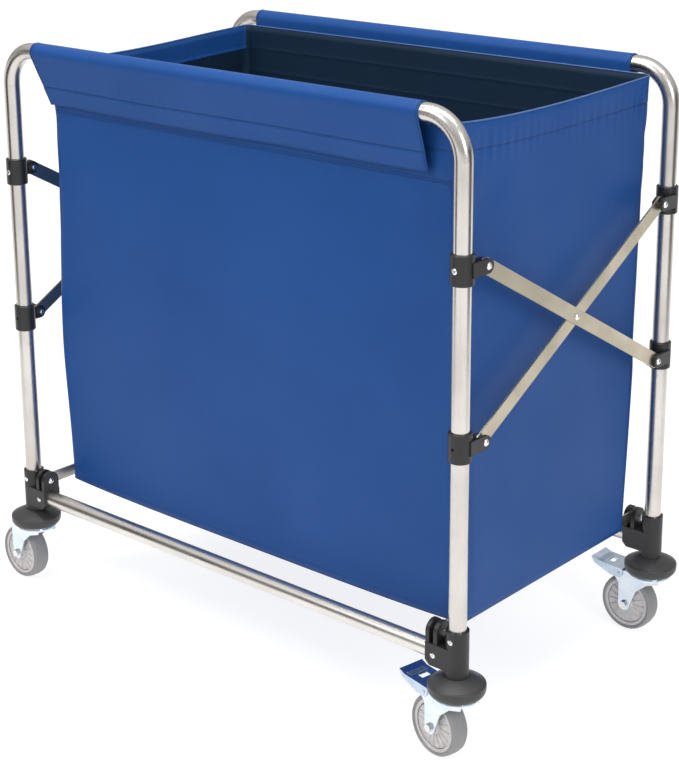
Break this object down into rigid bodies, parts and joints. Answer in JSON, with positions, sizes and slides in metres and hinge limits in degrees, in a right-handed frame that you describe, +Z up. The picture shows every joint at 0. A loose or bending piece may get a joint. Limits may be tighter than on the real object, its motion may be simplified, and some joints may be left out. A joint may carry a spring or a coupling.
{
  "type": "laundry cart",
  "caption": "Folding laundry cart: two inverted-U tube frames joined by scissor arms, a hung cloth bag, swivel casters with brakes on one end.",
  "frame": {"origin": "on the floor, midway between the four legs", "axes": "+X along the cart towards the braked end, +Y from the front frame to the rear frame, +Z up"},
  "size_m": [1.1132, 0.6398, 1.014],
  "materials": {
    "stainless_tube": "satin drawn stainless tube",
    "stainless_bar": "brushed stainless flat bar",
    "nylon": "fine-grained black nylon",
    "bumper": "dark grey satin bumper moulding",
    "zinc": "bright blue-white zinc plate",
    "fastener": "bright plated steel",
    "tyre": "grey thermoplastic rubber",
    "hub": "light warm grey polypropylene",
    "bag_cloth": "blue coated polyester"
  },
  "bodies": {
    "front_frame": {"front_top_frame": "stainless_tube", "front_bottom_rail": "stainless_tube", "front_left_bracket": "nylon", "front_left_upper_clamp": "nylon", "front_right_bracket": "nylon", "front_right_upper_clamp": "nylon", "front_bumper_discs": "bumper", "front_caster_stems": "zinc", "front_stem_plugs": "nylon", "front_fasteners": "fastener", "bag_front_panel": "bag_cloth", "bag_front_flap": "bag_cloth", "bag_left_end": "bag_cloth", "bag_right_end": "bag_cloth", "bag_floor": "bag_cloth"},
    "rear_frame": {"rear_top_frame": "stainless_tube", "rear_bottom_rail": "stainless_tube", "rear_left_bracket": "nylon", "rear_left_upper_clamp": "nylon", "rear_right_bracket": "nylon", "rear_right_upper_clamp": "nylon", "rear_bumper_discs": "bumper", "rear_caster_stems": "zinc", "rear_stem_plugs": "nylon", "rear_fasteners": "fastener", "bag_rear_panel": "bag_cloth", "bag_rear_flap": "bag_cloth"},
    "outer_arms": {"left_outer_arm": "stainless_bar", "right_outer_arm": "stainless_bar", "cross_rivets": "fastener"},
    "inner_arms": {"left_inner_arm": "stainless_bar", "right_inner_arm": "stainless_bar"},
    "front_sliders": {"front_left_lower_clamp": "nylon", "front_right_lower_clamp": "nylon", "front_slider_bolts": "fastener"},
    "front_struts": {"front_left_strut": "stainless_bar", "front_right_strut": "stainless_bar"},
    "rear_sliders": {"rear_left_lower_clamp": "nylon", "rear_right_lower_clamp": "nylon", "rear_slider_bolts": "fastener"},
    "rear_struts": {"rear_left_strut": "stainless_bar", "rear_right_strut": "stainless_bar"},
    "front_left_caster": {"front_left_fork": "zinc", "front_left_axle": "fastener"},
    "front_left_wheel": {"front_left_hub": "hub", "front_left_tyre": "tyre"},
    "front_right_caster": {"front_right_fork": "zinc", "front_right_axle": "fastener"},
    "front_right_wheel": {"front_right_hub": "hub", "front_right_tyre": "tyre"},
    "front_right_brake": {"front_right_pedal": "zinc"},
    "rear_left_caster": {"rear_left_fork": "zinc", "rear_left_axle": "fastener"},
    "rear_left_wheel": {"rear_left_hub": "hub", "rear_left_tyre": "tyre"},
    "rear_right_caster": {"rear_right_fork": "zinc", "rear_right_axle": "fastener"},
    "rear_right_wheel": {"rear_right_hub": "hub", "rear_right_tyre": "tyre"},
    "rear_right_brake": {"rear_right_pedal": "zinc"}
  },
  "joints": [
    {"name": "fold", "type": "hinge", "parent": "front_frame", "child": "outer_arms", "pos_m": [0, -0.238, 0.782], "axis": [-1, 0, 0], "range_deg": [0, 45], "deforming": ["bag_left_end", "bag_right_end", "bag_floor"]},
    {"name": "arm_cross", "type": "hinge", "parent": "outer_arms", "child": "inner_arms", "pos_m": [0, 0, 0.6485], "axis": [-1, 0, 0], "range_deg": [-90, 0]},
    {"name": "rear_frame_level", "type": "hinge", "parent": "inner_arms", "child": "rear_frame", "pos_m": [0, 0.238, 0.782], "axis": [-1, 0, 0], "range_deg": [0, 45]},
    {"name": "front_slide", "type": "hinge", "parent": "inner_arms", "child": "front_sliders", "pos_m": [0, -0.238, 0.515], "axis": [-1, 0, 0], "range_deg": [0, 45]},
    {"name": "rear_slide", "type": "hinge", "parent": "outer_arms", "child": "rear_sliders", "pos_m": [0, 0.238, 0.515], "axis": [-1, 0, 0], "range_deg": [-45, 0]},
    {"name": "front_strut_lift", "type": "hinge", "parent": "front_frame", "child": "front_struts", "pos_m": [0, -0.275, 0.211], "axis": [1, 0, 0], "range_deg": [0, 66.3]},
    {"name": "rear_strut_lift", "type": "hinge", "parent": "rear_frame", "child": "rear_struts", "pos_m": [0, 0.275, 0.211], "axis": [-1, 0, 0], "range_deg": [0, 66.3]},
    {"name": "front_left_swivel", "type": "hinge", "parent": "front_frame", "child": "front_left_caster", "pos_m": [-0.49, -0.275, 0.113], "axis": [0, 0, 1], "continuous": true},
    {"name": "front_left_spin", "type": "hinge", "parent": "front_left_caster", "child": "front_left_wheel", "pos_m": [-0.52795, -0.27301, 0.05], "axis": [0.0523, 0.9986, 0], "continuous": true},
    {"name": "front_right_swivel", "type": "hinge", "parent": "front_frame", "child": "front_right_caster", "pos_m": [0.49, -0.275, 0.113], "axis": [0, 0, 1], "continuous": true},
    {"name": "front_right_spin", "type": "hinge", "parent": "front_right_caster", "child": "front_right_wheel", "pos_m": [0.45258, -0.2684, 0.05], "axis": [0.1736, 0.9848, 0], "continuous": true},
    {"name": "front_right_brake_press", "type": "hinge", "parent": "front_right_caster", "child": "front_right_brake", "pos_m": [0.44076, -0.26632, 0.106], "axis": [-0.1736, -0.9848, 0], "range_deg": [0, 8]},
    {"name": "rear_left_swivel", "type": "hinge", "parent": "rear_frame", "child": "rear_left_caster", "pos_m": [-0.49, 0.275, 0.113], "axis": [0, 0, 1], "continuous": true},
    {"name": "rear_left_spin", "type": "hinge", "parent": "rear_left_caster", "child": "rear_left_wheel", "pos_m": [-0.52785, 0.27169, 0.05], "axis": [-0.0872, 0.9962, 0], "continuous": true},
    {"name": "rear_right_swivel", "type": "hinge", "parent": "rear_frame", "child": "rear_right_caster", "pos_m": [0.49, 0.275, 0.113], "axis": [0, 0, 1], "continuous": true},
    {"name": "rear_right_spin", "type": "hinge", "parent": "rear_right_caster", "child": "rear_right_wheel", "pos_m": [0.452, 0.275, 0.05], "axis": [0, 1, 0], "continuous": true},
    {"name": "rear_right_brake_press", "type": "hinge", "parent": "rear_right_caster", "child": "rear_right_brake", "pos_m": [0.44, 0.275, 0.106], "axis": [0, -1, 0], "range_deg": [0, 8]}
  ],
  "couplings": [
    {"joint": "arm_cross", "follows": "fold", "ratio": -2},
    {"joint": "rear_frame_level", "follows": "fold", "ratio": 1},
    {"joint": "front_slide", "follows": "fold", "ratio": 1},
    {"joint": "rear_slide", "follows": "fold", "ratio": -1},
    {"joint": "front_strut_lift", "follows": "fold", "ratio": 1.4715},
    {"joint": "rear_strut_lift", "follows": "fold", "ratio": 1.4715}
  ]
}
